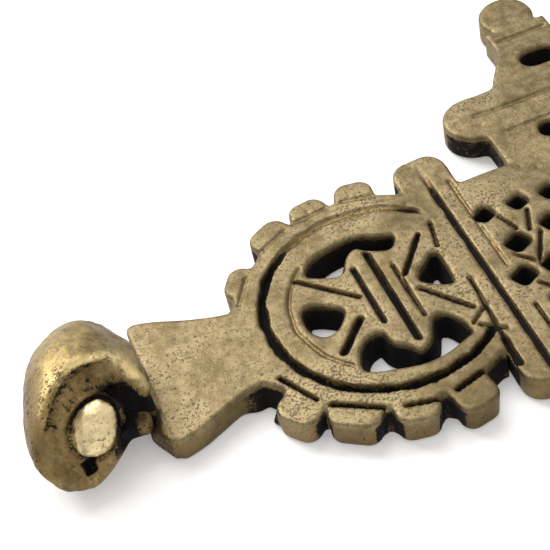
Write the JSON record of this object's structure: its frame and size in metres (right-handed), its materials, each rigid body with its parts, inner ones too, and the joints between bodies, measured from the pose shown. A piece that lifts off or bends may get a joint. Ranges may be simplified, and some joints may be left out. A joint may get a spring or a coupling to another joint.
{
  "type": "openwork cross pendant",
  "caption": "Cast brass openwork cross pendant with a toothed ring medallion, a pierced lattice centre and a hinged barrel loop for a neck cord.",
  "frame": {"origin": "centre of the cross on the flat back face", "axes": "+X along the pendant's long axis away from the loop, +Y to one lateral arm, +Z out of the decorated face"},
  "size_m": [0.0741, 0.0482, 0.0072],
  "materials": {
    "antiqued_brass": "worn satin with dark patina in the recesses",
    "loop_brass": "worn satin with dark patina in the recesses",
    "polished_brass": "bright, rubbed clean"
  },
  "bodies": {
    "cross": {"cross_casting": "antiqued_brass"},
    "loop": {"loop_body": "loop_brass", "loop_pin": "polished_brass"}
  },
  "joints": [
    {"name": "loop_hinge", "type": "hinge", "parent": "cross", "child": "loop", "pos_m": [-0.0406, -0.001, 0.00365], "axis": [-0.2588, -0.9659, 0], "range_deg": [0, 70]}
  ]
}
